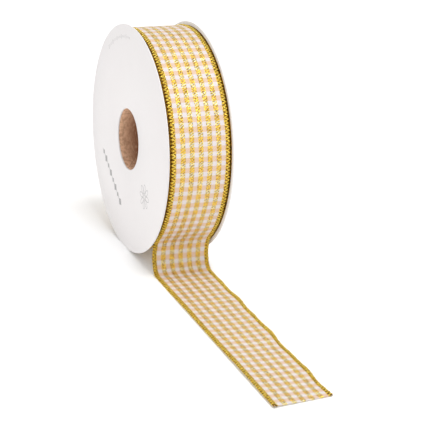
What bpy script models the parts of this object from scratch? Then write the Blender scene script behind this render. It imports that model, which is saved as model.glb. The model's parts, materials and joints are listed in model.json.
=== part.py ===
"""A spool of gift ribbon: a kraft core tube between two white board flanges, wound with a wire-edged
gingham ribbon whose free end runs off the bottom of the spool and along the table.

Metres, +Z up. The axle lies along X and the ribbon leaves towards -Y. The origin is in the middle of
the object's footprint, on the table. The spool turns about its axle inside the outermost turn of ribbon.
The ribbon's free end folds up at a line on the table, just in front of the spool."""

import math

import bmesh
import bpy

# The spool: two faced board discs glued to the ends of a two-ply tube.
FLANGE_RADIUS = 0.0475
BOARD_THICKNESS = 0.00035
FACING_RADIUS = 0.0474
FACING_THICKNESS = 0.0001
PASTE_LINE = 0.00005
BORE_RADIUS = 0.0128
PLY_THICKNESS = 0.00055
PLY_GAP = 0.0001
END_GAP = 0.0001
GLUE_BEAD = 0.0012
TAPE_THICKNESS = 0.00015
TAPE_WIDTH = 0.018
TAPE_ARC = math.radians(45)

# The ribbon: a woven band between two overlocked edges, each with a wire inside.
RIBBON_WIDTH = 0.025
SIDE_CLEARANCE = 0.00095
WEAVE_HALF_WIDTH = 0.0117
WEAVE_THICKNESS = 0.00025
EDGE_HALF_HEIGHT = 0.000375
EDGE_WALL = 0.00015
EDGE_INNER_REACH = 0.0106
WIRE_RADIUS = 0.000125
WIRE_OFFSET = 0.0121

# How the ribbon lies: nearer the back flange, round the spool, off it at the lower front, and along the table.
OUTER_TURN_RADIUS = 0.045825
RUNNING_GAP = 0.00035
TAKE_OFF_ANGLE = math.radians(136.5)
TURN_START_GAP = math.radians(7.5)
RIBBON_SET = 0.00037
SET_DOWN_SHIFT = 0.001
SHIFT_START_ANGLE = math.radians(100)
FOLD_LINE_REACH = 0.050
FOLD_GAP = 0.0003
TAIL_REACH = 0.1529
CUT_SKEW = 0.0014

# Facets: how finely a full turn and the bend on to the table are divided.
TURN_STEPS = 48
BEND_STEPS = 13

HALF_GAUGE = RIBBON_WIDTH / 2 + SIDE_CLEARANCE
FACET = 1 / math.cos(math.pi / TURN_STEPS)
AXLE_Z = FLANGE_RADIUS
AXLE_Y = (TAIL_REACH + CUT_SKEW - FLANGE_RADIUS) / 2
BEND_RADIUS = (AXLE_Z - EDGE_HALF_HEIGHT + OUTER_TURN_RADIUS * math.cos(TAKE_OFF_ANGLE)) / (
    1 - math.cos(TAKE_OFF_ANGLE)
)
BEND_REACH = (OUTER_TURN_RADIUS + BEND_RADIUS) * math.sin(TAKE_OFF_ANGLE)
BEND_Z = EDGE_HALF_HEIGHT + BEND_RADIUS
FOLD_Z = 2 * EDGE_HALF_HEIGHT


def clear_scene():
    for item in list(bpy.data.objects):
        bpy.data.objects.remove(item, do_unlink=True)


def new_collection(name):
    collection = bpy.data.collections.new(name)
    bpy.context.scene.collection.children.link(collection)
    return collection


def new_material(name, color, roughness, metallic=0.0):
    material = bpy.data.materials.new(name)
    material.use_nodes = True
    shader = material.node_tree.nodes["Principled BSDF"]
    shader.inputs["Base Color"].default_value = (*color, 1.0)
    shader.inputs["Roughness"].default_value = roughness
    shader.inputs["Metallic"].default_value = metallic
    material.diffuse_color = (*color, 1.0)
    return material


def white_board(name):
    return new_material(name, (0.86, 0.83, 0.81), 0.75)


def coated_paper(name):
    return new_material(name, (0.89, 0.86, 0.85), 0.42)


def kraft_board(name):
    return new_material(name, (0.42, 0.25, 0.14), 0.9)


def dried_glue(name):
    return new_material(name, (0.80, 0.74, 0.60), 0.4)


def paper_tape(name):
    return new_material(name, (0.85, 0.78, 0.62), 0.55)


def gingham_weave(name):
    return new_material(name, (0.82, 0.68, 0.40), 0.5)


def gold_overlock(name):
    return new_material(name, (0.62, 0.43, 0.06), 0.35, 0.7)


def steel_wire(name):
    return new_material(name, (0.60, 0.58, 0.55), 0.3, 1.0)


def add_object(name, data, material, parent, collection):
    made = bpy.data.objects.new(name, data)
    data.materials.append(material)
    made.parent = parent
    collection.objects.link(made)
    return made


def add_empty(name, location, rotation, collection):
    empty = bpy.data.objects.new(name, None)
    empty.location = location
    empty.rotation_euler = rotation
    empty.empty_display_size = 0.01
    collection.objects.link(empty)
    return empty


def shade_round(mesh):
    mesh.shade_smooth()
    mesh.set_sharp_from_angle(angle=math.radians(30))


def turned(name, profile, material, axle, collection):
    """A ring turned about the axle from (radius, place along the axle) points, which run down its outside."""
    mesh = bpy.data.meshes.new(name)
    mesh.from_pydata(
        [(radius * FACET, 0.0, along) for radius, along in profile],
        [(i, (i + 1) % len(profile)) for i in range(len(profile))],
        [],
    )
    ring = add_object(name, mesh, material, axle, collection)
    ring.rotation_euler = (0.0, 0.0, math.pi / TURN_STEPS)
    screw = ring.modifiers.new("Turn", "SCREW")
    screw.axis = "Z"
    screw.angle = 2 * math.pi
    screw.steps = TURN_STEPS
    screw.render_steps = TURN_STEPS
    screw.use_smooth_shade = False
    screw.use_merge_vertices = True
    screw.merge_threshold = 0.00001
    return ring


def washer(name, inner, outer, low, high, material, axle, collection):
    profile = [(outer, high), (outer, low), (inner, low), (inner, high)]
    return turned(name, profile, material, axle, collection)


def add_flange(side_name, side, axle, collection):
    """One board disc and the coated paper on its outer face. side is -1 for the front and 1 for the back."""
    board_inner = side * HALF_GAUGE
    board_outer = board_inner + side * BOARD_THICKNESS
    facing_inner = board_outer + side * PASTE_LINE
    facing_outer = facing_inner + side * FACING_THICKNESS
    name = side_name + "_flange"
    low, high = sorted((board_inner, board_outer))
    washer(name, BORE_RADIUS, FLANGE_RADIUS, low, high, white_board(name), axle, collection)
    name = side_name + "_flange_facing"
    low, high = sorted((facing_inner, facing_outer))
    washer(name, BORE_RADIUS, FACING_RADIUS, low, high, coated_paper(name), axle, collection)


def tube_radii():
    """The inner and outer radius of each ply, from the bore out."""
    inner_ply = (BORE_RADIUS, BORE_RADIUS + PLY_THICKNESS)
    outer_ply = (inner_ply[1] + PLY_GAP, inner_ply[1] + PLY_GAP + PLY_THICKNESS)
    return inner_ply, outer_ply


def add_core_tube(axle, collection):
    half = HALF_GAUGE - END_GAP
    for name, (inner, outer) in zip(("core_tube_inner_ply", "core_tube_outer_ply"), tube_radii()):
        washer(name, inner, outer, -half, half, kraft_board(name), axle, collection)


def add_glue_bead(side_name, side, axle, collection):
    """A fillet of glue in the corner between the tube and a flange."""
    tube = tube_radii()[1][1] + PLY_GAP
    corner = side * (HALF_GAUGE - END_GAP)
    inward = corner - side * GLUE_BEAD
    points = [(tube + GLUE_BEAD, corner), (tube, inward), (tube, corner)]
    if side < 0:
        points.reverse()
    name = side_name + "_glue_bead"
    turned(name, points, dried_glue(name), axle, collection)


def add_start_tape(axle, collection):
    """The strip of paper tape that holds the ribbon's inner end to the tube."""
    inner = tube_radii()[1][1] + PLY_GAP
    outer = inner + TAPE_THICKNESS
    half = TAPE_WIDTH / 2
    name = "ribbon_start_tape"
    mesh = bpy.data.meshes.new(name)
    shape = bmesh.new()
    steps = round(TURN_STEPS * TAPE_ARC / (2 * math.pi))
    corners = [(outer, half), (outer, -half), (inner, -half), (inner, half)]
    face = shape.faces.new([shape.verts.new((r * FACET, 0.0, along)) for r, along in corners])
    bmesh.ops.spin(
        shape, geom=[face], cent=(0, 0, 0), axis=(0, 0, 1), angle=TAPE_ARC, steps=steps, use_duplicate=False
    )
    bmesh.ops.recalc_face_normals(shape, faces=shape.faces)
    shape.to_mesh(mesh)
    shape.free()
    tape = add_object(name, mesh, paper_tape(name), axle, collection)
    tape.rotation_euler = (0.0, 0.0, math.pi / TURN_STEPS)
    shade_round(mesh)


def add_wound_turns(axle, collection):
    """All the turns under the outermost one: the woven middle, and the stacked gold edges at each side."""
    inner = tube_radii()[1][1] + PLY_GAP + TAPE_THICKNESS + PLY_GAP
    outer = OUTER_TURN_RADIUS - EDGE_HALF_HEIGHT - RUNNING_GAP
    edge_inner = inner + GLUE_BEAD
    front, back = RIBBON_SET - RIBBON_WIDTH / 2, RIBBON_SET + RIBBON_WIDTH / 2
    front_seam, back_seam = RIBBON_SET - WEAVE_HALF_WIDTH, RIBBON_SET + WEAVE_HALF_WIDTH
    low, high = front_seam + PLY_GAP, back_seam - PLY_GAP
    name = "wound_ribbon"
    washer(name, inner, outer, low, high, gingham_weave(name), axle, collection)
    name = "wound_front_edge"
    washer(name, edge_inner, outer, front, front_seam, gold_overlock(name), axle, collection)
    name = "wound_back_edge"
    washer(name, edge_inner, outer, back_seam, back, gold_overlock(name), axle, collection)


def ease(t):
    t = min(max(t, 0.0), 1.0)
    return t * t * (3 - 2 * t)


def turn_stations():
    """(shift along X, reach towards -Y from the axle, height, lean) of the ribbon round the spool.
    The lean is the angle of its outer face from straight up."""
    span = 2 * math.pi - TURN_START_GAP
    count = round(TURN_STEPS * span / (2 * math.pi))
    stations = []
    for i in range(count):
        lean = TAKE_OFF_ANGLE - span * (1 - i / count)
        reach = OUTER_TURN_RADIUS * math.sin(lean)
        stations.append((0.0, reach, AXLE_Z + OUTER_TURN_RADIUS * math.cos(lean), lean))
    return stations


def bend_stations():
    """The ribbon leaving the spool and curving forward on to the table."""
    stations = []
    for i in range(BEND_STEPS + 1):
        lean = TAKE_OFF_ANGLE * (1 - i / BEND_STEPS)
        shift = -SET_DOWN_SHIFT * ease(1 - lean / SHIFT_START_ANGLE)
        reach = BEND_REACH - BEND_RADIUS * math.sin(lean)
        stations.append((shift, reach, BEND_Z - BEND_RADIUS * math.cos(lean), lean))
    return stations


def table_station(reach):
    return (-SET_DOWN_SHIFT, reach, EDGE_HALF_HEIGHT, 0.0)


def place(station, across, proud, skew=0.0):
    """A point of the ribbon: across its width, and proud of its mid-surface."""
    shift, reach, height, lean = station
    cut = -skew * across / (RIBBON_WIDTH / 2)
    return (
        RIBBON_SET + shift + across,
        AXLE_Y - reach - cut - proud * math.sin(lean),
        height + proud * math.cos(lean),
    )


def add_strip(name, section, stations, thickness, material, parent, collection, skew=0.0):
    """An open sheet that follows the stations, given its thickness by Solidify.
    The section is a list of (across, proud) points. The skew slants its last edge."""
    shape = bmesh.new()
    bmesh.ops.create_grid(shape, x_segments=len(stations) - 1, y_segments=len(section) - 1, size=0.5)
    shape.verts.ensure_lookup_table()
    origin = parent.location
    for vert in shape.verts:
        row = round((vert.co.x + 0.5) * (len(stations) - 1))
        column = round((vert.co.y + 0.5) * (len(section) - 1))
        across, proud = section[column]
        slant = skew if row == len(stations) - 1 else 0.0
        point = place(stations[row], across, proud, slant)
        vert.co = [point[axis] - origin[axis] for axis in range(3)]
    mesh = bpy.data.meshes.new(name)
    shape.to_mesh(mesh)
    shape.free()
    strip = add_object(name, mesh, material, parent, collection)
    wall = strip.modifiers.new("Thickness", "SOLIDIFY")
    wall.thickness = thickness
    wall.offset = 0.0
    wall.use_even_offset = True
    shade_round(mesh)
    return strip


def add_wire(name, side, stations, parent, collection, skew=0.0):
    curve = bpy.data.curves.new(name, "CURVE")
    curve.dimensions = "3D"
    curve.bevel_depth = WIRE_RADIUS
    curve.bevel_resolution = 1
    curve.use_fill_caps = True
    spline = curve.splines.new("POLY")
    spline.points.add(len(stations) - 1)
    origin = parent.location
    for i, station in enumerate(stations):
        slant = skew if i == len(stations) - 1 else 0.0
        point = place(station, side * WIRE_OFFSET, 0.0, slant)
        spline.points[i].co = (*[point[axis] - origin[axis] for axis in range(3)], 1.0)
    add_object(name, curve, steel_wire(name), parent, collection)


def edge_section(side):
    """The overlocked edge folds round the wire: a channel open towards the weave."""
    outer = side * (RIBBON_WIDTH / 2 - EDGE_WALL / 2)
    lip = EDGE_HALF_HEIGHT - EDGE_WALL / 2
    points = [(side * EDGE_INNER_REACH, lip), (outer, lip), (outer, -lip), (side * EDGE_INNER_REACH, -lip)]
    return points if side < 0 else points[::-1]


def add_ribbon(prefix, stations, parent, collection, skew=0.0):
    """One stretch of ribbon: the weave, two overlocked edges, and the wire inside each."""
    name = prefix + "_weave"
    weave = [(-WEAVE_HALF_WIDTH, 0.0), (WEAVE_HALF_WIDTH, 0.0)]
    add_strip(name, weave, stations, WEAVE_THICKNESS, gingham_weave(name), parent, collection, skew)
    for side_name, side in (("front", -1), ("back", 1)):
        name = prefix + "_" + side_name + "_edge"
        section = edge_section(side)
        add_strip(name, section, stations, EDGE_WALL, gold_overlock(name), parent, collection, skew)
        name = prefix + "_" + side_name + "_wire"
        add_wire(name, side, stations, parent, collection, skew)


def main():
    clear_scene()
    collection = new_collection("ribbon_spool")
    axle = add_empty("spool_axle", (0.0, AXLE_Y, AXLE_Z), (0.0, math.pi / 2, 0.0), collection)
    drawn = add_empty("drawn_ribbon", (0.0, AXLE_Y, AXLE_Z), (0.0, 0.0, 0.0), collection)
    fold_place = (RIBBON_SET - SET_DOWN_SHIFT, AXLE_Y - FOLD_LINE_REACH, FOLD_Z)
    fold = add_empty("tail_fold", fold_place, (0.0, 0.0, 0.0), collection)
    for side_name, side in (("front", -1), ("back", 1)):
        add_flange(side_name, side, axle, collection)
        add_glue_bead(side_name, side, axle, collection)
    add_core_tube(axle, collection)
    add_start_tape(axle, collection)
    add_wound_turns(axle, collection)
    to_the_fold = [table_station(FOLD_LINE_REACH - FOLD_GAP / 2)]
    add_ribbon("outer_turn", turn_stations() + bend_stations() + to_the_fold, drawn, collection)
    tail = [table_station(FOLD_LINE_REACH + FOLD_GAP / 2), table_station(TAIL_REACH)]
    add_ribbon("tail", tail, fold, collection, CUT_SKEW)


main()
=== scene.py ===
# %% [markdown]
# # A spool of wire-edged gingham ribbon
#
# The spool is a kraft tube between two white board discs. The ribbon on it is a woven gingham band
# with a gold overlocked edge down each side and a thin wire inside each edge. Its free end runs off the
# bottom of the spool and lies on the table.
#
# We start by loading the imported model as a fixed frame. It already holds every part at its real size, so
# all the measures below are read from it, or are a ribbon maker's own numbers.

# %% Load the frame
import json
import math
import random

import bmesh
import bpy
import numpy as np
from mathutils import Matrix, Vector


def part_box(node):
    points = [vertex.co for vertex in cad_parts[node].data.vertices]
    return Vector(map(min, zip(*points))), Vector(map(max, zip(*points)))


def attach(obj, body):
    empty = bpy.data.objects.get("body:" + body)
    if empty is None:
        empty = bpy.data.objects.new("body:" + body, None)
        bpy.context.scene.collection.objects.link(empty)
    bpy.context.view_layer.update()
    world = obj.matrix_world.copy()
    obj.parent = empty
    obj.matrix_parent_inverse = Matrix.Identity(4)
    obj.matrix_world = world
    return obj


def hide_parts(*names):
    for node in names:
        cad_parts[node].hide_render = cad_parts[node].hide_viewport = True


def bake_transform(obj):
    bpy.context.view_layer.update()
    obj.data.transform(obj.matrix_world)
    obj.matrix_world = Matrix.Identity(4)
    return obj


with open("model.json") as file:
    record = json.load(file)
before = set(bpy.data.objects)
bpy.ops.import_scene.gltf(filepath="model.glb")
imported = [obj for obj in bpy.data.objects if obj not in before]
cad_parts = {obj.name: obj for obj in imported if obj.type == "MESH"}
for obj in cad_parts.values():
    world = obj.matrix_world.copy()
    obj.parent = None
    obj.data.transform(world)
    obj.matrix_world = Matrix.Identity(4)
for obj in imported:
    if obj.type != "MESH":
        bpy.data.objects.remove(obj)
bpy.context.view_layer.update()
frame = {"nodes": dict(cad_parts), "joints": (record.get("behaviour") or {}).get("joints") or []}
MM = 0.001

# %% Read the places that the frame fixes
joint_places = {joint["name"]: Vector(joint["pos_m"]) for joint in frame["joints"]}
AXLE = joint_places["spool_spin"]
FOLD = joint_places["tail_lift"]
print("axle", AXLE, "fold line", FOLD)

# %% [markdown]
# ## The camera and the studio
#
# The camera stands in front of the spool, a little to its left and above it, with a long lens, so the
# discs keep nearly parallel sides. The floor is a wide pale sheet. The lights are large panels, which
# give soft edges to the shadow and long bright reflections in the gold thread. The sky between them is
# grey, because metallic thread needs something darker to reflect as well.

# %% Place the camera
CAMERA_PLACE = Vector((-0.23307, -0.55441, 0.26093))
CAMERA_BACK = Vector((-0.36798, -0.85952, 0.35471)).normalized()
CAMERA_ROLL = math.radians(3.371)
CAMERA_LENS = 137.23

camera_data = bpy.data.cameras.new("studio_camera")
camera_data.lens = CAMERA_LENS
camera_data.sensor_width = 36
camera_data.clip_start = 0.01
camera = bpy.data.objects.new("studio_camera", camera_data)
bpy.context.scene.collection.objects.link(camera)
level_right = Vector((0, 0, 1)).cross(CAMERA_BACK).normalized()
level_up = CAMERA_BACK.cross(level_right)
right = level_right * math.cos(CAMERA_ROLL) + level_up * math.sin(CAMERA_ROLL)
up = CAMERA_BACK.cross(right)
camera_turn = Matrix((right, up, CAMERA_BACK)).transposed().to_4x4()
camera.matrix_world = Matrix.Translation(CAMERA_PLACE) @ camera_turn
bpy.context.scene.camera = camera
print("camera at", CAMERA_PLACE, "lens", CAMERA_LENS, "mm")


# %% A helper that adds one node and wires it
def add_node(tree, kind, inputs=None, **settings):
    """Adds a shader node. A socket among the inputs is linked, and any other value is set."""
    made = tree.nodes.new(kind)
    for key, value in settings.items():
        setattr(made, key, value)
    for key, value in (inputs or {}).items():
        if isinstance(value, bpy.types.NodeSocket):
            tree.links.new(value, made.inputs[key])
        else:
            made.inputs[key].default_value = value
    return made


def calc(tree, operation, first, second=0.0, third=0.0):
    """One Math node, and its output."""
    return add_node(tree, "ShaderNodeMath", {0: first, 1: second, 2: third}, operation=operation).outputs[0]


def ramp_between(tree, value, low, high, to_low=0.0, to_high=1.0):
    """Maps a value from low..high to to_low..to_high, smoothly and clamped."""
    inputs = {"Value": value, "From Min": low, "From Max": high, "To Min": to_low, "To Max": to_high}
    return add_node(tree, "ShaderNodeMapRange", inputs, interpolation_type="SMOOTHSTEP").outputs["Result"]


def blend_colors(tree, factor, first, second, how="MIX"):
    """Mixes two colours by a factor."""
    made = add_node(tree, "ShaderNodeMix", {0: factor}, data_type="RGBA", blend_type=how)
    for index, value in ((6, first), (7, second)):
        if isinstance(value, bpy.types.NodeSocket):
            tree.links.new(value, made.inputs[index])
        else:
            made.inputs[index].default_value = (*value, 1.0)
    return made.outputs[2]


def new_finish(name, roughness, metallic=0.0):
    """A material with its tree and its Principled shader."""
    material = bpy.data.materials.new(name)
    material.use_nodes = True
    shader = material.node_tree.nodes["Principled BSDF"]
    shader.inputs["Roughness"].default_value = roughness
    shader.inputs["Metallic"].default_value = metallic
    return material, material.node_tree, shader


def add_bump(tree, shader, height, strength, distance, under=None):
    """Raises the surface by a height pattern, for light only."""
    inputs = {"Height": height, "Strength": strength, "Distance": distance}
    if under is not None:
        inputs["Normal"] = under
    bump = add_node(tree, "ShaderNodeBump", inputs)
    tree.links.new(bump.outputs["Normal"], shader.inputs["Normal"])


print("node helpers ready")

# %% Lay the floor
FLOOR_RADIUS = 3.0
FLOOR_GLOW = 0.12


def add_floor():
    """A round sheet of pale paper, which glows a little so that it reads as white."""
    shape = bmesh.new()
    bmesh.ops.create_circle(shape, cap_ends=True, segments=96, radius=FLOOR_RADIUS)
    mesh = bpy.data.meshes.new("floor")
    shape.to_mesh(mesh)
    shape.free()
    floor = bpy.data.objects.new("floor", mesh)
    bpy.context.scene.collection.objects.link(floor)
    material, tree, shader = new_finish("floor_paper", 0.8)
    grain = add_node(tree, "ShaderNodeTexNoise", {"Scale": 30.0, "Detail": 3.0})
    color = blend_colors(tree, grain.outputs["Fac"], (0.92, 0.92, 0.92), (0.94, 0.94, 0.94))
    tree.links.new(color, shader.inputs["Base Color"])
    shader.inputs["Emission Color"].default_value = (1.0, 1.0, 1.0, 1.0)
    shader.inputs["Emission Strength"].default_value = FLOOR_GLOW
    mesh.materials.append(material)


add_floor()
print("floor radius", FLOOR_RADIUS, "m")


# %% Hang the light panels
def add_panel(name, place, aim, size, power):
    """A square soft light at a place, facing its aim."""
    data = bpy.data.lights.new(name, "AREA")
    data.shape = "SQUARE"
    data.size = size
    data.energy = power
    panel = bpy.data.objects.new(name, data)
    panel.location = place
    panel.rotation_euler = (Vector(place) - Vector(aim)).to_track_quat("Z", "Y").to_euler()
    bpy.context.scene.collection.objects.link(panel)


SKY_STRENGTH = 0.77
middle = Vector((0.0, 0.0, 0.03))
add_panel("key_panel", (0.6, -1.0, 1.25), middle, 0.5, 0.6)
add_panel("side_panel", (-1.2, -0.7, 0.55), middle, 0.5, 2.0)
add_panel("front_panel", (0.25, -1.6, 0.55), middle, 0.7, 1.6)
add_panel("top_panel", (0.15, -0.35, 1.6), middle, 0.6, 12.0)

world = bpy.data.worlds.new("studio_sky")
world.use_nodes = True
world.node_tree.nodes["Background"].inputs["Color"].default_value = (1.0, 1.0, 1.0, 1.0)
world.node_tree.nodes["Background"].inputs["Strength"].default_value = SKY_STRENGTH
bpy.context.scene.world = world
bpy.context.scene.view_settings.view_transform = "Standard"
print("four panels and a grey sky")

# %% [markdown]
# ## The ribbon's route
#
# A ribbon is easiest to make flat and then lay along its route, as a maker cuts and folds a strip. In
# the flat, X runs across the ribbon, Y along it from its hidden end to the cut end, and Z stands proud of
# its middle surface. One function then carries any point of the flat strip to its place: round the spool,
# off it at the lower front, round a short bend and forward along the table.

# %% Measure the route
RIBBON_HALF = 12.5 * MM
EDGE_HALF_HEIGHT = 0.375 * MM
RUNNING_GAP = 0.35 * MM
TAKE_OFF = math.radians(136.5)
TURN_SPAN = math.radians(352.5)
SHIFT_START = math.radians(100)
CUT_SKEW = 1.4 * MM
WEAVE_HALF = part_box("tail_weave")[1].x - FOLD.x

wound_low, wound_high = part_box("wound_ribbon")
RIBBON_SET = (wound_low.x + wound_high.x) / 2
SET_DOWN_SHIFT = RIBBON_SET - FOLD.x
WOUND_RADIUS = (wound_high.z - wound_low.z) / 2
TURN_RADIUS = WOUND_RADIUS + RUNNING_GAP + EDGE_HALF_HEIGHT
BEND_RADIUS = (AXLE.z - EDGE_HALF_HEIGHT + TURN_RADIUS * math.cos(TAKE_OFF)) / (1 - math.cos(TAKE_OFF))
BEND_REACH = (TURN_RADIUS + BEND_RADIUS) * math.sin(TAKE_OFF)
TAIL_REACH = AXLE.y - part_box("tail_weave")[0].y - CUT_SKEW * WEAVE_HALF / RIBBON_HALF
TURN_LENGTH = TURN_SPAN * TURN_RADIUS
BEND_LENGTH = TAKE_OFF * BEND_RADIUS
RIBBON_LENGTH = TURN_LENGTH + BEND_LENGTH + TAIL_REACH - BEND_REACH
print(f"turn {TURN_LENGTH / MM:.1f}, bend {BEND_LENGTH / MM:.1f}, whole {RIBBON_LENGTH / MM:.1f} mm")

# %% [markdown]
# A real ribbon doesn't lie like sheet metal. On the table this one narrows a little towards its cut end,
# its front edge lifts off the table there, and its back edge wavers, because each edge thread pulls at the
# weave. A cloth simulation could find such shapes. Smooth waves are added instead, because they are quick
# and leave the ribbon at its measured size. They grow from nothing just past the spool.

# %% Let the free end settle
NARROWING = 0.7 * MM
EDGE_LIFT = 0.55 * MM
WAVER = 0.22 * MM
WAVER_LENGTH = 4.8 * MM
SMALL_WAVER_LENGTH = 2.7 * MM
RIPPLE = 0.14 * MM
RIPPLE_LENGTH = 8.5 * MM
WAVES_GROWN = 30 * MM
FULLY_SETTLED = 115 * MM
TUCK_LENGTH = 6 * MM
TUCK_DEPTH = 0.3 * MM


def ease(t):
    """A smooth step from 0 to 1."""
    t = np.clip(t, 0.0, 1.0)
    return t * t * (3 - 2 * t)


def settle(across, on_table):
    """Sideways drift and lift of the ribbon on the table. Side runs from -1 in front to 1 at the back."""
    grown = ease(on_table / WAVES_GROWN)
    far = ease(on_table / FULLY_SETTLED)
    side = across / RIBBON_HALF
    long_waver = np.sin(on_table / WAVER_LENGTH + 1.9 * side)
    small_waver = 0.7 * np.sin(on_table / SMALL_WAVER_LENGTH + 4.0 * side)
    back_share = np.clip(side + 0.4, 0, 2) * side * side
    drift = WAVER * grown * back_share * (long_waver + small_waver)
    drift = drift - NARROWING * far * np.clip(side, 0, 1)
    lift = EDGE_LIFT * far * np.clip((1 - side) / 2, 0, 1) ** 2.2
    ripple = RIPPLE * grown * (1 + np.sin(on_table / RIPPLE_LENGTH + 2.3 * side)) * side * side
    return drift, lift + ripple


def lay_points(points):
    """Carries flat ribbon points, an array of (across, along, proud), to their places on the route."""
    across, along, proud = points.T
    on_turn = along < TURN_LENGTH
    turn_lean = TAKE_OFF - TURN_SPAN + along / TURN_RADIUS
    bend_lean = np.clip(TAKE_OFF - (along - TURN_LENGTH) / BEND_RADIUS, 0.0, TAKE_OFF)
    lean = np.where(on_turn, turn_lean, bend_lean)
    on_table = np.clip(along - TURN_LENGTH - BEND_LENGTH, 0.0, None)
    turn_reach = TURN_RADIUS * np.sin(lean)
    turn_height = AXLE.z + TURN_RADIUS * np.cos(lean)
    bend_reach = BEND_REACH - BEND_RADIUS * np.sin(lean) + on_table
    bend_height = EDGE_HALF_HEIGHT + BEND_RADIUS * (1 - np.cos(lean))
    reach = np.where(on_turn, turn_reach, bend_reach)
    height = np.where(on_turn, turn_height, bend_height)
    shift = np.where(on_turn, 0.0, -SET_DOWN_SHIFT * ease(1 - lean / SHIFT_START))
    drift, lift = settle(across, on_table)
    proud = proud - TUCK_DEPTH * ease(1 - along / TUCK_LENGTH)
    x = RIBBON_SET + shift + across + drift
    y = AXLE.y - reach - proud * np.sin(lean)
    z = height + lift + proud * np.cos(lean)
    return np.stack([x, y, z], axis=1)


def lay_on_route(mesh):
    """Moves a flat mesh on to the route."""
    points = np.empty(len(mesh.vertices) * 3, np.float64)
    mesh.vertices.foreach_get("co", points)
    mesh.vertices.foreach_set("co", lay_points(points.reshape(-1, 3)).ravel())
    mesh.update()


print("cut end lies at", lay_points(np.array([[0.0, RIBBON_LENGTH, 0.0]]))[0].round(4))

# %% [markdown]
# ## Moving with the bodies
#
# The outer turn and the bend belong to the body that stays put, and the free end to a body that folds up
# off the table. The strip is laid as one piece across that fold, where it rests, and the spool's own
# pieces are attached to the spool's body.


def new_piece(name, shape, materials):
    """Makes an object from a bmesh and frees the bmesh."""
    mesh = bpy.data.meshes.new(name)
    shape.to_mesh(mesh)
    shape.free()
    for material in materials:
        mesh.materials.append(material)
    piece = bpy.data.objects.new(name, mesh)
    bpy.context.scene.collection.objects.link(piece)
    return piece


def print_triangles(piece):
    """Prints how many triangles a finished piece has."""
    piece.data.calc_loop_triangles()
    print(piece.name, len(piece.data.loop_triangles), "triangles")


def finish_ribbon_piece(piece, slot, *nodes):
    """Lays a flat piece on the route and hides the nodes it stands for."""
    lay_on_route(piece.data)
    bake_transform(piece)
    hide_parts(*nodes)
    print_triangles(piece)


def finish_spool_piece(piece, slot, *nodes):
    """Sets a piece on the spool."""
    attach(piece, "spool")
    if nodes:
        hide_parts(*nodes)
    print_triangles(piece)


# %% [markdown]
# ## The gingham finish
#
# The band is a plain weave. Its long yarns come in eleven stripes, six white and five of flat gold film,
# and its cross yarns come in bands of white and of peach. Where two meet, each tiny cell shows whichever
# yarn is on top, so the four squares of a gingham appear by themselves: white, blush, pale gold and deep
# gold. The pattern is read from the strip's own map, which is in millimetres across and along, and so it
# follows the ribbon round every bend.

# %% Weave the gingham
CHECK_WIDTH = 1.90
CHECK_LENGTH = 1.995
END_PITCH = 0.39
PICK_PITCH = 0.285
STREAK_PITCH = 1.1
WHITE_YARN = (0.75, 0.69, 0.71)
PEACH_YARN = (0.74, 0.455, 0.24)
STRIPE_SOFTNESS = 0.18


def split_cells(tree, value, pitch):
    """The whole number and the fraction of a length counted in pitches."""
    counted = calc(tree, "DIVIDE", value, pitch)
    return calc(tree, "FLOOR", counted), calc(tree, "FRACT", counted)


def stripe_mask(tree, value, width, softness, widen=0.0):
    """1 on every other stripe, centred on zero, and a little wider than the stripes between if asked."""
    wave = calc(tree, "COSINE", calc(tree, "MULTIPLY", value, math.pi / width))
    return ramp_between(tree, wave, -softness - widen, softness - widen)


def crown(tree, fraction):
    """The rounded height of a yarn across its width."""
    return calc(tree, "SINE", calc(tree, "MULTIPLY", fraction, math.pi))


def flat_place(tree):
    """The strip's own map: millimetres across and along."""
    return add_node(tree, "ShaderNodeUVMap", uv_map="weave").outputs[0]


def cell_chance(tree, first, second, third=0.0):
    """A random node, with one value and one colour for each cell of a count."""
    cell = add_node(tree, "ShaderNodeCombineXYZ", {0: first, 1: second, 2: third})
    return add_node(tree, "ShaderNodeTexWhiteNoise", {"Vector": cell.outputs[0]}, noise_dimensions="3D")


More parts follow.
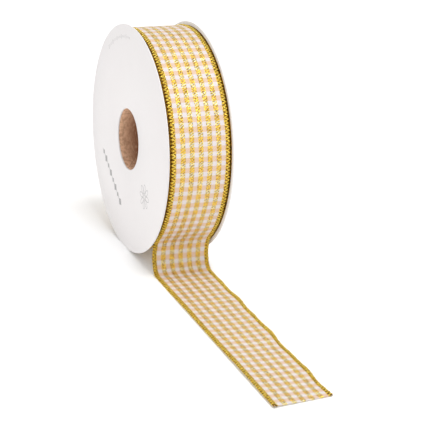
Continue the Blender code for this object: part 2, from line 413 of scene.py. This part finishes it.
def gingham_finish():
    """The whole cloth: stripes, crossings, film, colours and the relief of the yarns."""
    material, tree, shader = new_finish("gingham_weave", 0.42)
    place = add_node(tree, "ShaderNodeSeparateXYZ", {0: flat_place(tree)})
    wobble = add_node(tree, "ShaderNodeTexNoise", {"Vector": flat_place(tree), "Scale": 0.35, "Detail": 2.0})
    sway = calc(tree, "MULTIPLY_ADD", wobble.outputs["Fac"], 0.5, -0.25)
    across = calc(tree, "ADD", place.outputs[0], sway)
    along = calc(tree, "ADD", place.outputs[1], sway)
    gold_end = stripe_mask(tree, across, CHECK_WIDTH, STRIPE_SOFTNESS, 0.15)
    peach_pick = stripe_mask(tree, along, CHECK_LENGTH, STRIPE_SOFTNESS, 0.12)

    end_number, end_fraction = split_cells(tree, across, END_PITCH)
    pick_number, pick_fraction = split_cells(tree, along, PICK_PITCH)
    both = calc(tree, "ADD", end_number, pick_number)
    plain_top = calc(tree, "GREATER_THAN", calc(tree, "FLOORED_MODULO", both, 2.0), 0.5)
    film_top = calc(tree, "GREATER_THAN", calc(tree, "FLOORED_MODULO", both, 4.0), 0.5)
    tops = {0: gold_end, 2: plain_top, 3: film_top}
    end_on_top = add_node(tree, "ShaderNodeMix", tops, data_type="FLOAT").outputs[0]
    end_crown = crown(tree, end_fraction)
    pick_crown = crown(tree, pick_fraction)

    chance = cell_chance(tree, end_number, pick_number)
    # Painted sparkle: each cell and streak of gold film gets a random dark or bright gold, as painted glints
    # and dark specks.
    streak_number = split_cells(tree, along, STREAK_PITCH)[0]
    streak = calc(tree, "MULTIPLY", cell_chance(tree, end_number, streak_number, 7.0).outputs["Value"], 0.25)
    shine = calc(tree, "MULTIPLY_ADD", chance.outputs["Value"], 0.75, streak)
    glow = ramp_between(tree, calc(tree, "POWER", shine, 1.3), 0.12, 0.68)
    pale_gold = blend_colors(tree, glow, (0.42, 0.29, 0.035), (0.97, 0.80, 0.24))
    deep_gold = blend_colors(tree, glow, (0.47, 0.26, 0.010), (0.98, 0.66, 0.055))
    gold = blend_colors(tree, peach_pick, pale_gold, deep_gold)
    white_end = blend_colors(tree, calc(tree, "MULTIPLY", peach_pick, 0.3), WHITE_YARN, PEACH_YARN)
    end_color = blend_colors(tree, gold_end, white_end, gold)
    pick_color = blend_colors(tree, peach_pick, WHITE_YARN, PEACH_YARN)
    top = blend_colors(tree, end_on_top, pick_color, end_color)
    # Painted shade: the colour darkens where the yarns dip between their crowns.
    painted_valley_shade = ramp_between(tree, calc(tree, "MULTIPLY", end_crown, pick_crown), 0.0, 0.55, 0.82, 1.0)
    painted_valley_grey = add_node(tree, "ShaderNodeCombineColor", {0: painted_valley_shade, 1: painted_valley_shade, 2: painted_valley_shade}).outputs[0]
    shaded = blend_colors(tree, 1.0, top, painted_valley_grey, "MULTIPLY")
    tree.links.new(shaded, shader.inputs["Base Color"])

    film = calc(tree, "MULTIPLY", gold_end, end_on_top)
    tree.links.new(calc(tree, "MULTIPLY", film, 0.6), shader.inputs["Metallic"])
    tree.links.new(ramp_between(tree, film, 0.0, 1.0, 0.55, 0.30), shader.inputs["Roughness"])

    tilt = blend_colors(tree, calc(tree, "MULTIPLY", film, 0.30), (0.5, 0.5, 1.0), chance.outputs["Color"])
    tilt_inputs = {"Color": tilt, "Strength": 1.0}
    tilted = add_node(tree, "ShaderNodeNormalMap", tilt_inputs, space="TANGENT", uv_map="weave")
    over = calc(tree, "MULTIPLY", end_crown, calc(tree, "POWER", pick_crown, 0.5))
    under = calc(tree, "MULTIPLY", pick_crown, calc(tree, "POWER", end_crown, 0.5))
    relief = add_node(tree, "ShaderNodeMix", {0: end_on_top, 2: under, 3: over}, data_type="FLOAT")
    add_bump(tree, shader, relief.outputs[0], 0.35, 0.08 * MM, tilted.outputs[0])
    return material


gingham = gingham_finish()
print("eleven stripes cover", 11 * CHECK_WIDTH, "mm of the band")

# %% [markdown]
# ## The woven band
#
# A grid is stretched to the band's cut size, its last centimetre is slanted the way the scissors went,
# and each check is puckered a very little, as yarns of unlike tension do. Its map is written while it is
# still flat. Solidify then gives it the thickness of the cloth, and it is laid on the route.

# %% Cut the band
WEAVE_THICKNESS = 0.25 * MM
WEAVE_COLUMNS = 32
WEAVE_ROW = 1.0 * MM
SLANT_LENGTH = 12 * MM
PUCKER = 0.035 * MM


def slant(across, along):
    """How far the cut's slant carries a point along the ribbon."""
    near_the_cut = max(0.0, 1 - (RIBBON_LENGTH - along) / SLANT_LENGTH)
    return -CUT_SKEW * across / RIBBON_HALF * near_the_cut


def make_band():
    """The band, flat, with its map and its thickness."""
    shape = bmesh.new()
    rows = round(RIBBON_LENGTH / WEAVE_ROW)
    bmesh.ops.create_grid(shape, x_segments=WEAVE_COLUMNS, y_segments=rows, size=0.5)
    bmesh.ops.scale(shape, verts=shape.verts, vec=(2 * WEAVE_HALF, RIBBON_LENGTH, 1))
    bmesh.ops.translate(shape, verts=shape.verts, vec=(0, RIBBON_LENGTH / 2, 0))
    for vert in shape.verts:
        vert.co.y += slant(vert.co.x, vert.co.y)
        column_wave = math.cos(math.pi * vert.co.x / MM / CHECK_WIDTH)
        row_wave = math.cos(math.pi * vert.co.y / MM / CHECK_LENGTH)
        vert.co.z = PUCKER * column_wave * row_wave
    weave_map = shape.loops.layers.uv.new("weave")
    for face in shape.faces:
        for loop in face.loops:
            loop[weave_map].uv = (loop.vert.co.x / MM, loop.vert.co.y / MM)
    bmesh.ops.solidify(shape, geom=shape.faces[:], thickness=WEAVE_THICKNESS)
    middle_height = sum(vert.co.z for vert in shape.verts) / len(shape.verts)
    bmesh.ops.translate(shape, verts=shape.verts, vec=(0, 0, -middle_height))
    bmesh.ops.recalc_face_normals(shape, faces=shape.faces)
    for face in shape.faces:
        face.smooth = True
    return new_piece("gingham_band", shape, [gingham])


band = make_band()
finish_ribbon_piece(band, "gingham_weave", "outer_turn_weave", "tail_weave")

# %% [markdown]
# ## The gold edges
#
# Each side is overlocked: a metallic thread is wrapped round the edge and the wire inside it, loop after
# loop. The loops lean to and fro, and that is what you see, as a bright zigzag over a core painted a
# near-black gold, which is painted shade between the loops. One loop is a small ring of a few dozen faces,
# spun once, then copied along the flat edge with small random differences, over a plain padded core that
# fills the gaps between them.

# %% Finish for the gold thread
TWIST_PITCH = 0.16


def gold_thread_finish(name, dark, bright):
    """Metallic thread: patches of dark and bright gold, the bright ones painted glints, and a fine twist."""
    material, tree, shader = new_finish(name, 0.3, 0.75)
    place = flat_place(tree)
    fine = add_node(tree, "ShaderNodeTexNoise", {"Vector": place, "Scale": 1.9, "Detail": 2.0})
    lit = ramp_between(tree, fine.outputs["Fac"], 0.38, 0.60)
    tree.links.new(blend_colors(tree, lit, dark, bright), shader.inputs["Base Color"])
    tree.links.new(calc(tree, "MULTIPLY_ADD", lit, -0.2, 0.45), shader.inputs["Roughness"])
    split = add_node(tree, "ShaderNodeSeparateXYZ", {0: place})
    slanted = calc(tree, "MULTIPLY_ADD", split.outputs[0], 0.6, split.outputs[1])
    ply = calc(tree, "SINE", calc(tree, "MULTIPLY", slanted, 2 * math.pi / TWIST_PITCH))
    add_bump(tree, shader, ply, 0.5, 0.03 * MM)
    return material


bright_thread = gold_thread_finish("gold_overlock", (0.70, 0.39, 0.010), (1.0, 0.80, 0.15))
# The core copy is painted shade: near-black gold for the gaps between loops and the edge in shadow.
painted_shade_thread = gold_thread_finish("gold_overlock_shaded_core", (0.07, 0.03, 0.0015), (0.42, 0.22, 0.018))
print("gold thread ready")

# %% Wrap the loops
LOOP_PITCH = 0.72 * MM
LOOP_CENTRE = 11.45 * MM
LOOP_REACH = 0.90 * MM
LOOP_SIDES = 5
LOOP_STEPS = 10
LOOP_THREAD = 0.15 * MM
LOOP_FLATTEN = 0.46
LOOP_SPREAD = 1.6
LOOP_LEAN = 0.38
CORE_HALF_WIDTH = 0.86 * MM
CORE_HALF_HEIGHT = 0.27 * MM
CORE_SIDES = 10


def write_flat_map(shape):
    """Writes the flat places as the strip's own map, in millimetres."""
    flat_map = shape.loops.layers.uv.verify()
    for face in shape.faces:
        for loop in face.loops:
            loop[flat_map].uv = (loop.vert.co.x / MM, loop.vert.co.y / MM)


def make_one_loop():
    """The pattern loop, centred on the origin."""
    shape = bmesh.new()
    section = bmesh.ops.create_circle(shape, segments=LOOP_SIDES, radius=LOOP_THREAD)["verts"]
    bmesh.ops.translate(shape, verts=section, vec=(LOOP_REACH, 0, 0))
    bmesh.ops.spin(
        shape,
        geom=shape.verts[:] + shape.edges[:],
        cent=(0, 0, 0),
        axis=(0, 1, 0),
        angle=2 * math.pi,
        steps=LOOP_STEPS,
        use_merge=True,
    )
    bmesh.ops.scale(shape, verts=shape.verts, vec=(1, LOOP_SPREAD, LOOP_FLATTEN))
    for vert in shape.verts:
        vert.co.y += LOOP_LEAN * vert.co.x
    bmesh.ops.recalc_face_normals(shape, faces=shape.faces)
    mesh = bpy.data.meshes.new("pattern_loop")
    shape.to_mesh(mesh)
    shape.free()
    return mesh


def add_long_rod(shape, across, length, radius, sides, flatten=1.0):
    """Adds a rod along the flat ribbon, cut into rows short enough to bend."""
    rod = bmesh.ops.create_cone(
        shape, cap_ends=True, segments=sides, radius1=radius, radius2=radius, depth=length
    )["verts"]
    bmesh.ops.rotate(shape, verts=rod, matrix=Matrix.Rotation(math.pi / 2, 3, "X"))
    bmesh.ops.scale(shape, verts=rod, vec=(1, 1, flatten))
    bmesh.ops.translate(shape, verts=rod, vec=(across, length / 2, 0))
    long_edges = [edge for edge in shape.edges if abs(edge.verts[0].co.y - edge.verts[1].co.y) > length / 2]
    bmesh.ops.subdivide_edges(shape, edges=long_edges, cuts=round(length / WEAVE_ROW), use_grid_fill=True)


def make_edge(name, side, length):
    """A core strip with loops of thread along it, every second one leaning the other way."""
    dice = random.Random(7 + side)
    shape = bmesh.new()
    core_flatten = CORE_HALF_HEIGHT / CORE_HALF_WIDTH
    add_long_rod(shape, side * LOOP_CENTRE, length, CORE_HALF_WIDTH, CORE_SIDES, core_flatten)
    core_faces = len(shape.faces)
    count = int((length - LOOP_PITCH) / LOOP_PITCH)
    for i in range(count):
        start = len(shape.verts)
        shape.from_mesh(pattern_loop)
        shape.verts.ensure_lookup_table()
        new = shape.verts[start:]
        if i % 2:
            bmesh.ops.scale(shape, verts=new, vec=(-1, 1, -1))
        grow = (dice.uniform(0.90, 1.10), dice.uniform(0.85, 1.15), dice.uniform(0.88, 1.10))
        bmesh.ops.scale(shape, verts=new, vec=grow)
        nudge = Vector((dice.uniform(-0.10, 0.10), dice.uniform(-0.10, 0.10), 0)) * MM
        place = Vector((side * LOOP_CENTRE, (i + 1) * LOOP_PITCH, 0))
        bmesh.ops.translate(shape, verts=new, vec=place + nudge)
    write_flat_map(shape)
    shape.faces.index_update()
    for face in shape.faces:
        face.smooth = True
        face.material_index = 0 if face.index < core_faces else 1
    piece = new_piece(name, shape, [painted_shade_thread, bright_thread])
    piece.data.uv_layers[0].name = "weave"
    return piece


pattern_loop = make_one_loop()
front_edge = make_edge("gold_edge_front", -1, RIBBON_LENGTH + CUT_SKEW)
finish_ribbon_piece(front_edge, "gold_overlock", "outer_turn_front_edge", "tail_front_edge")
back_edge = make_edge("gold_edge_back", 1, RIBBON_LENGTH - CUT_SKEW)
finish_ribbon_piece(back_edge, "gold_overlock", "outer_turn_back_edge", "tail_back_edge")
bpy.data.meshes.remove(pattern_loop)

# %% [markdown]
# ## The wires in the edges
#
# A thin steel wire runs inside each gold edge, which is why the ribbon keeps any bend. Only its tip
# shows, a fraction of a millimetre past the cut. It is the same long rod as the core of an edge, thinner.

# %% Draw the wires
WIRE_RADIUS = 0.125 * MM
WIRE_SIDES = 8
WIRE_TIP = 0.3 * MM
WIRE_CENTRE = LOOP_CENTRE + 0.3 * MM


def wire_finish():
    """Drawn steel, faintly uneven."""
    material, tree, shader = new_finish("edge_wire", 0.28, 1.0)
    place = add_node(tree, "ShaderNodeTexCoord").outputs["Object"]
    drawn = add_node(tree, "ShaderNodeTexNoise", {"Vector": place, "Scale": 2500.0, "Detail": 2.0})
    color = blend_colors(tree, drawn.outputs["Fac"], (0.42, 0.40, 0.37), (0.66, 0.64, 0.60))
    tree.links.new(color, shader.inputs["Base Color"])
    add_bump(tree, shader, drawn.outputs["Fac"], 0.2, 0.01 * MM)
    return material


def make_wire(name, side, length, material):
    """One wire, flat-ended and smooth along its side."""
    shape = bmesh.new()
    add_long_rod(shape, side * WIRE_CENTRE, length, WIRE_RADIUS, WIRE_SIDES)
    for face in shape.faces:
        face.smooth = len(face.verts) == 4
    return new_piece(name, shape, [material])


steel = wire_finish()
for side_name, side in (("front", -1), ("back", 1)):
    wire = make_wire("edge_wire_" + side_name, side, RIBBON_LENGTH - side * CUT_SKEW + WIRE_TIP, steel)
    nodes = [f"outer_turn_{side_name}_wire", f"tail_{side_name}_wire"]
    finish_ribbon_piece(wire, "edge_wire", *nodes)

# %% [markdown]
# ## The board discs
#
# Each flange is a disc of white board, die-cut, with a coated paper laminated to its outside. A closed
# outline spun about the axle gives the disc and its bore in one go. A narrow bevel then breaks the cut
# corners, which is what catches the light along a real board edge.

# %% Finishes for board and paper
def object_place(tree, scale=(1.0, 1.0, 1.0)):
    """Object coordinates centred on the axle, scaled for stretched patterns."""
    place = add_node(tree, "ShaderNodeTexCoord").outputs["Object"]
    centred = add_node(tree, "ShaderNodeVectorMath", {0: place, 1: tuple(-AXLE)}, operation="ADD").outputs[0]
    return add_node(tree, "ShaderNodeVectorMath", {0: centred, 1: scale}, operation="MULTIPLY").outputs[0]


def object_noise(tree, scale, detail, stretch=(1.0, 1.0, 1.0)):
    """Noise on those coordinates, from 0 to 1."""
    inputs = {"Vector": object_place(tree, stretch), "Scale": scale, "Detail": detail}
    return add_node(tree, "ShaderNodeTexNoise", inputs).outputs["Fac"]


def board_finish():
    """Pulpy white board, whose cut edge shows layers parallel to the disc."""
    material, tree, shader = new_finish("white_board", 0.7)
    layers = object_noise(tree, 420.0, 3.0, (9, 1, 1))
    color = blend_colors(tree, layers, (0.80, 0.78, 0.76), (0.90, 0.885, 0.875))
    tree.links.new(color, shader.inputs["Base Color"])
    add_bump(tree, shader, layers, 0.25, 0.05 * MM)
    return material


def coated_finish():
    """Smooth coated paper with a faint mottle and a very slight lie of fibres."""
    material, tree, shader = new_finish("coated_paper", 0.38)
    cloudy = object_noise(tree, 90.0, 3.0)
    fibres = object_noise(tree, 1800.0, 2.0, (1, 1, 0.35))
    color = blend_colors(tree, cloudy, (0.782, 0.750, 0.744), (0.806, 0.776, 0.770))
    tree.links.new(color, shader.inputs["Base Color"])
    tree.links.new(ramp_between(tree, fibres, 0.3, 0.7, 0.34, 0.46), shader.inputs["Roughness"])
    both = calc(tree, "MULTIPLY_ADD", cloudy, 3.0, fibres)
    add_bump(tree, shader, both, 0.12, 0.03 * MM)
    return material


white_board = board_finish()
coated_paper = coated_finish()
print("board and paper ready")


# %% Turn the discs
BORE_RADIUS = 12.8 * MM
BOARD_ROUNDING = 0.07 * MM
PAPER_ROUNDING = 0.05 * MM
PAPER_OVERLAP = 0.05 * MM


def turn_ring(name, outline, material, segments=256, rounding=0.0):
    """Spins a closed outline of (radius, x) points about the axle, and rounds its rims."""
    shape = bmesh.new()
    corners = [shape.verts.new((x, 0, radius)) for radius, x in outline]
    for i, corner in enumerate(corners):
        shape.edges.new((corners[i - 1], corner))
    bmesh.ops.spin(
        shape,
        geom=shape.verts[:] + shape.edges[:],
        cent=(0, 0, 0),
        axis=(1, 0, 0),
        angle=2 * math.pi,
        steps=segments,
        use_merge=True,
    )
    bmesh.ops.recalc_face_normals(shape, faces=shape.faces)
    if rounding:
        rims = [edge for edge in shape.edges if edge.calc_face_angle(0) > math.radians(40)]
        bmesh.ops.bevel(
            shape, geom=rims, offset=rounding, affect="EDGES", segments=2, profile=0.5, material=-1
        )
    bmesh.ops.translate(shape, verts=shape.verts, vec=AXLE)
    for face in shape.faces:
        face.smooth = True
    piece = new_piece(name, shape, [material])
    piece.data.set_sharp_from_angle(angle=math.radians(35))
    return piece


def ring_outline(node, inner, grow=0.0):
    """The outline of a ring node: its outer and inner radius between its two ends."""
    low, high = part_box(node)
    outer = (high.z - low.z) / 2 + grow
    return [(outer, low.x), (outer, high.x), (inner, high.x), (inner, low.x)]


for side_name in ("front", "back"):
    node = side_name + "_flange"
    outline = ring_outline(node, BORE_RADIUS)
    disc = turn_ring(node + "_board", outline, white_board, rounding=BOARD_ROUNDING)
    finish_spool_piece(disc, "white_board", node)
    outline = ring_outline(node + "_facing", BORE_RADIUS, PAPER_OVERLAP)
    paper = turn_ring(node + "_paper", outline, coated_paper, rounding=PAPER_ROUNDING)
    finish_spool_piece(paper, "coated_paper", node + "_facing")

# %% [markdown]
# ## The core
#
# The tube is two plies of kraft board wound on a slant, so its bore shows long fibres and one seam that
# climbs round it. Inside the spool the ribbon's first end is taped to the tube, and a fillet of glue holds
# each disc. The plies are turned finely here, because the bore is seen close up.

# %% Finishes for kraft, tape and glue
SEAM_RISE = 62 * MM
SHADED_DEPTH = 6 * MM
PAINTED_LIGHT_DEPTH = 14 * MM


def kraft_finish():
    """Brown pulp with painted shade deep in the bore and painted light towards the tube's ends, with fibres
    and a winding seam.
    """
    material, tree, shader = new_finish("kraft_board", 0.85)
    split = add_node(tree, "ShaderNodeSeparateXYZ", {0: object_place(tree)})
    angle = calc(tree, "ARCTAN2", split.outputs[1], split.outputs[2])
    turns = calc(tree, "DIVIDE", angle, 2 * math.pi)
    climb = calc(tree, "MULTIPLY_ADD", split.outputs[0], 1 / SEAM_RISE, turns)
    past_seam = calc(tree, "FRACT", calc(tree, "ADD", climb, 0.22))
    from_seam = calc(tree, "ABSOLUTE", calc(tree, "SUBTRACT", past_seam, 0.5))
    from_middle = calc(tree, "ABSOLUTE", split.outputs[0])
    # Painted shade and light: the bore is darkest at its middle and paler towards the tube's ends.
    depths = {"Value": from_middle, "From Min": SHADED_DEPTH, "From Max": PAINTED_LIGHT_DEPTH}
    painted_bore_light = add_node(tree, "ShaderNodeMapRange", depths).outputs["Result"]
    pulp = blend_colors(tree, painted_bore_light, (0.24, 0.10, 0.045), (0.86, 0.55, 0.36))
    mottle = ramp_between(tree, object_noise(tree, 650.0, 4.0), 0.58, 0.36, 0.0, 0.5)
    mottled = blend_colors(tree, mottle, pulp, (0.30, 0.15, 0.08))
    fibres = object_noise(tree, 1500.0, 3.0, (1, 0.3, 0.3))
    pale_fibres = ramp_between(tree, fibres, 0.45, 0.7, 0.0, 0.3)
    fibred = blend_colors(tree, pale_fibres, mottled, (0.76, 0.54, 0.36))
    seam = ramp_between(tree, from_seam, 0.0, 0.006, 0.45, 0.0)
    seamed = blend_colors(tree, seam, fibred, (0.20, 0.10, 0.05))
    tree.links.new(seamed, shader.inputs["Base Color"])
    add_bump(tree, shader, fibres, 0.5, 0.08 * MM)
    return material


def plain_finish(name, roughness, noise, dark, bright, strength, depth):
    """A finish whose colour and relief both follow one noise."""
    material, tree, shader = new_finish(name, roughness)
    grain = object_noise(tree, *noise)
    tree.links.new(blend_colors(tree, grain, dark, bright), shader.inputs["Base Color"])
    add_bump(tree, shader, grain, strength, depth)
    return material


def wear_node(node, material):
    """Gives a CAD node that stays as it is its finish."""
    slots = frame["nodes"][node].data.materials
    slots.clear()
    slots.append(material)
    print(node, "wears", material.name)


kraft = kraft_finish()
tape_noise = (900.0, 3.0, (0.2, 1, 1))
tape = plain_finish("paper_tape", 0.5, tape_noise, (0.74, 0.64, 0.44), (0.86, 0.78, 0.60), 0.5, 0.06 * MM)
glue_noise = (350.0, 2.0)
glue = plain_finish("dried_glue", 0.25, glue_noise, (0.72, 0.62, 0.42), (0.86, 0.80, 0.66), 0.6, 0.2 * MM)
wear_node("ribbon_start_tape", tape)
for side_name in ("front", "back"):
    wear_node(side_name + "_glue_bead", glue)

# %% Turn the plies
PLY_ROUNDING = 0.06 * MM
PLY_GAP = 0.1 * MM
PLY_SIDES = 128

inner_ply_outline = ring_outline("core_tube_inner_ply", BORE_RADIUS)
outer_ply_outline = ring_outline("core_tube_outer_ply", inner_ply_outline[0][0] + PLY_GAP)
for which, outline in (("inner", inner_ply_outline), ("outer", outer_ply_outline)):
    ply = turn_ring(f"kraft_{which}_ply", outline, kraft, PLY_SIDES, PLY_ROUNDING)
    finish_spool_piece(ply, "kraft_board", f"core_tube_{which}_ply")

# %% [markdown]
# ## The winding
#
# Under the outermost turn lie dozens more. Their gold edges stack into a finely ridged wall beside each
# disc, and the band between is a stack of cloth. Each is turned from one outline, and a wall's outline has
# a ridge for each turn of ribbon. At the back the last turn's edge curls up against the disc.

# %% Turn the winding
TURN_PITCH = 0.75 * MM
RIDGE_DEPTH = 0.2 * MM
WANDER_SHARE = 0.8
CLOTH_INNER = 14.35 * MM
WALL_INNER = 15.55 * MM
CLOTH_SIDES = 192
WALL_SIDES = 96
CURL_RADIUS = 46.05 * MM
CURLED_EDGE = [(WOUND_RADIUS, 13.06 * MM), (CURL_RADIUS, 13.16 * MM), (CURL_RADIUS, 13.38 * MM)]
ROWS_IN_A_TURN = 72


def ridged_side(inner, outer, x_face, x_deep, wander):
    """Points down one side, one ridge for each turn, as the turns wander from side to side."""
    dice = random.Random(31)
    count = round((outer - inner) / TURN_PITCH)
    pitch = (outer - inner) / count
    points = []
    for i in range(count):
        top = outer - i * pitch
        face = x_face + wander * dice.random()
        points += [(top, x_deep), (top - 0.22 * pitch, face), (top - 0.78 * pitch, face)]
    return points + [(inner, x_deep)]


def winding_finish():
    """Stacked layers of the same cloth, seen end on and from above."""
    material, tree, shader = new_finish("wound_cloth", 0.5)
    split = add_node(tree, "ShaderNodeSeparateXYZ", {0: object_place(tree)})
    across = calc(tree, "DIVIDE", calc(tree, "SUBTRACT", split.outputs[0], RIBBON_SET), MM)
    angle = calc(tree, "ARCTAN2", split.outputs[1], split.outputs[2])
    rows_passed = calc(tree, "MULTIPLY", angle, ROWS_IN_A_TURN / 2)
    gold = stripe_mask(tree, across, CHECK_WIDTH, 0.2)
    peach = ramp_between(tree, calc(tree, "SINE", rows_passed), -0.2, 0.2)
    columns = blend_colors(tree, gold, (0.86, 0.83, 0.85), (0.80, 0.56, 0.16))
    rows = blend_colors(tree, peach, (0.87, 0.84, 0.86), (0.84, 0.54, 0.32))
    cloth = blend_colors(tree, 0.5, columns, rows)
    tree.links.new(cloth, shader.inputs["Base Color"])
    tree.links.new(calc(tree, "MULTIPLY", gold, 0.3), shader.inputs["Metallic"])
    add_bump(tree, shader, object_noise(tree, 2600.0, 2.0), 0.5, 0.05 * MM)
    return material


def shaded_stacked_gold_finish():
    """Gold edges of many turns, one above another, coloured dark gold as painted shade of the gap beside each
    disc.
    """
    material, tree, shader = new_finish("stacked_gold", 0.35, 0.85)
    grain = object_noise(tree, 1100.0, 3.0)
    lit = ramp_between(tree, grain, 0.35, 0.65)
    color = blend_colors(tree, lit, (0.16, 0.065, 0.004), (0.62, 0.34, 0.03))
    tree.links.new(color, shader.inputs["Base Color"])
    add_bump(tree, shader, grain, 0.7, 0.12 * MM)
    return material


def make_winding():
    """The ring of cloth, and a wall of gold edges at each side of it."""
    cloth = turn_ring("wound_cloth", ring_outline("wound_ribbon", CLOTH_INNER), winding_finish(), CLOTH_SIDES)
    finish_spool_piece(cloth, "gingham_weave", "wound_ribbon")
    stacked = shaded_stacked_gold_finish()
    for side_name, side in (("front", -1), ("back", 1)):
        node = f"wound_{side_name}_edge"
        low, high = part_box(node)
        face, root = (low.x, high.x) if side < 0 else (high.x, low.x)
        flange_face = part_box(side_name + "_flange")[side < 0].x
        wander = (flange_face - face) * WANDER_SHARE
        side_points = ridged_side(WALL_INNER, WOUND_RADIUS, face, face - side * RIDGE_DEPTH, wander)
        if side > 0:
            side_points[1:1] = CURLED_EDGE
        outline = side_points + [(WALL_INNER, root), (WOUND_RADIUS, root)]
        wall = turn_ring("stacked_gold_" + side_name, outline, stacked, WALL_SIDES)
        finish_spool_piece(wall, "gold_overlock", node)


make_winding()

# %% [markdown]
# ## The print
#
# The front disc carries a light grey print: an arc of small ticks near the rim, a slanting string of
# diamonds, and a little rosette. An image could carry it, but thin bars of ink that lie on the paper stay
# sharp at any size. The artwork is drawn in millimetres from the axle.

# %% Print the ornament
INK_PROUD = 0.012 * MM
PRINT_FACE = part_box("front_flange_facing")[0].x
TICK_COUNT = 20
TICK_RADIUS = 42.4
TICK_START = 131
TICK_STEP = 1.95
STOUT_LINE = 0.30
FINE_LINE = 0.26
BEAD_COUNT = 8
BEAD_LINE_START = Vector((-31.5, -14.2))
BEAD_LINE_END = Vector((-5.4, -31.2))
ROSETTE_CENTRE = (22.0, -17.6)
PETAL_COUNT = 8


def ink_finish():
    """Grey ink, a little patchy."""
    material, tree, shader = new_finish("grey_ink", 0.45)
    color = blend_colors(tree, object_noise(tree, 1400.0, 2.0), (0.40, 0.385, 0.385), (0.52, 0.50, 0.50))
    tree.links.new(color, shader.inputs["Base Color"])
    return material


def draw_line(shape, start, end, width):
    """A bar of ink between two points of the artwork, in mm to the right of the axle and above it."""
    run = Vector(end) - Vector(start)
    bar = bmesh.ops.create_cube(shape, size=1.0)["verts"]
    bmesh.ops.scale(shape, verts=bar, vec=(2 * INK_PROUD, run.length * MM, width * MM))
    bmesh.ops.rotate(shape, verts=bar, matrix=Matrix.Rotation(-math.atan2(run.y, run.x), 3, "X"))
    centre = (Vector(start) + Vector(end)) / 2
    bmesh.ops.translate(shape, verts=bar, vec=(PRINT_FACE, AXLE.y - centre.x * MM, AXLE.z + centre.y * MM))


def draw_closed_path(shape, points, width):
    """A run of bars through the points and back to the first."""
    for start, end in zip(points, points[1:] + points[:1]):
        draw_line(shape, start, end, width)


def oval(half_length, half_width, sides, centre_x=0.0):
    """The points of an oval, in the artwork's millimetres."""
    angles = np.linspace(0, 2 * math.pi, sides + 1)[:-1]
    return [(centre_x + half_length * math.cos(t), half_width * math.sin(t)) for t in angles]


def turned_by(points, degrees, place):
    """Turns artwork points about their own origin and moves them."""
    spin = Matrix.Rotation(math.radians(degrees), 2)
    return [tuple(spin @ Vector(point) + Vector(place)) for point in points]


def print_tick_arc(shape):
    """An arc of small ticks concentric with the rim, every fourth one longer."""
    for i in range(TICK_COUNT):
        angle = math.radians(TICK_START - TICK_STEP * i)
        outward = Vector((math.cos(angle), math.sin(angle)))
        reach = 0.45 if i % 4 else 0.9
        draw_line(shape, outward * (TICK_RADIUS - reach), outward * (TICK_RADIUS + reach), STOUT_LINE)


def print_beads(shape):
    """A slanting string of solid diamonds on a thin line."""
    run = BEAD_LINE_END - BEAD_LINE_START
    slope = math.degrees(math.atan2(run.y, run.x))
    draw_line(shape, BEAD_LINE_START, BEAD_LINE_END, STOUT_LINE)
    for i in range(BEAD_COUNT):
        side = 2.6 if i % 2 else 1.7
        place = BEAD_LINE_START.lerp(BEAD_LINE_END, (i + 0.5) / BEAD_COUNT)
        ends = turned_by([(-side / 2, 0), (side / 2, 0)], slope + 45, place)
        draw_line(shape, *ends, side)


def print_rosette(shape):
    """A small rosette: petals round a ring."""
    petal = oval(1.9, 0.95, 14, 3.3)
    for i in range(PETAL_COUNT):
        draw_closed_path(shape, turned_by(petal, 360 / PETAL_COUNT * i, ROSETTE_CENTRE), FINE_LINE)
    ring = oval(1.0, 1.0, 12)
    draw_closed_path(shape, turned_by(ring, 0, ROSETTE_CENTRE), FINE_LINE)


ornament_shape = bmesh.new()
print_tick_arc(ornament_shape)
print_beads(ornament_shape)
print_rosette(ornament_shape)
ornament = new_piece("printed_ornament", ornament_shape, [ink_finish()])
finish_spool_piece(ornament, "coated_paper")
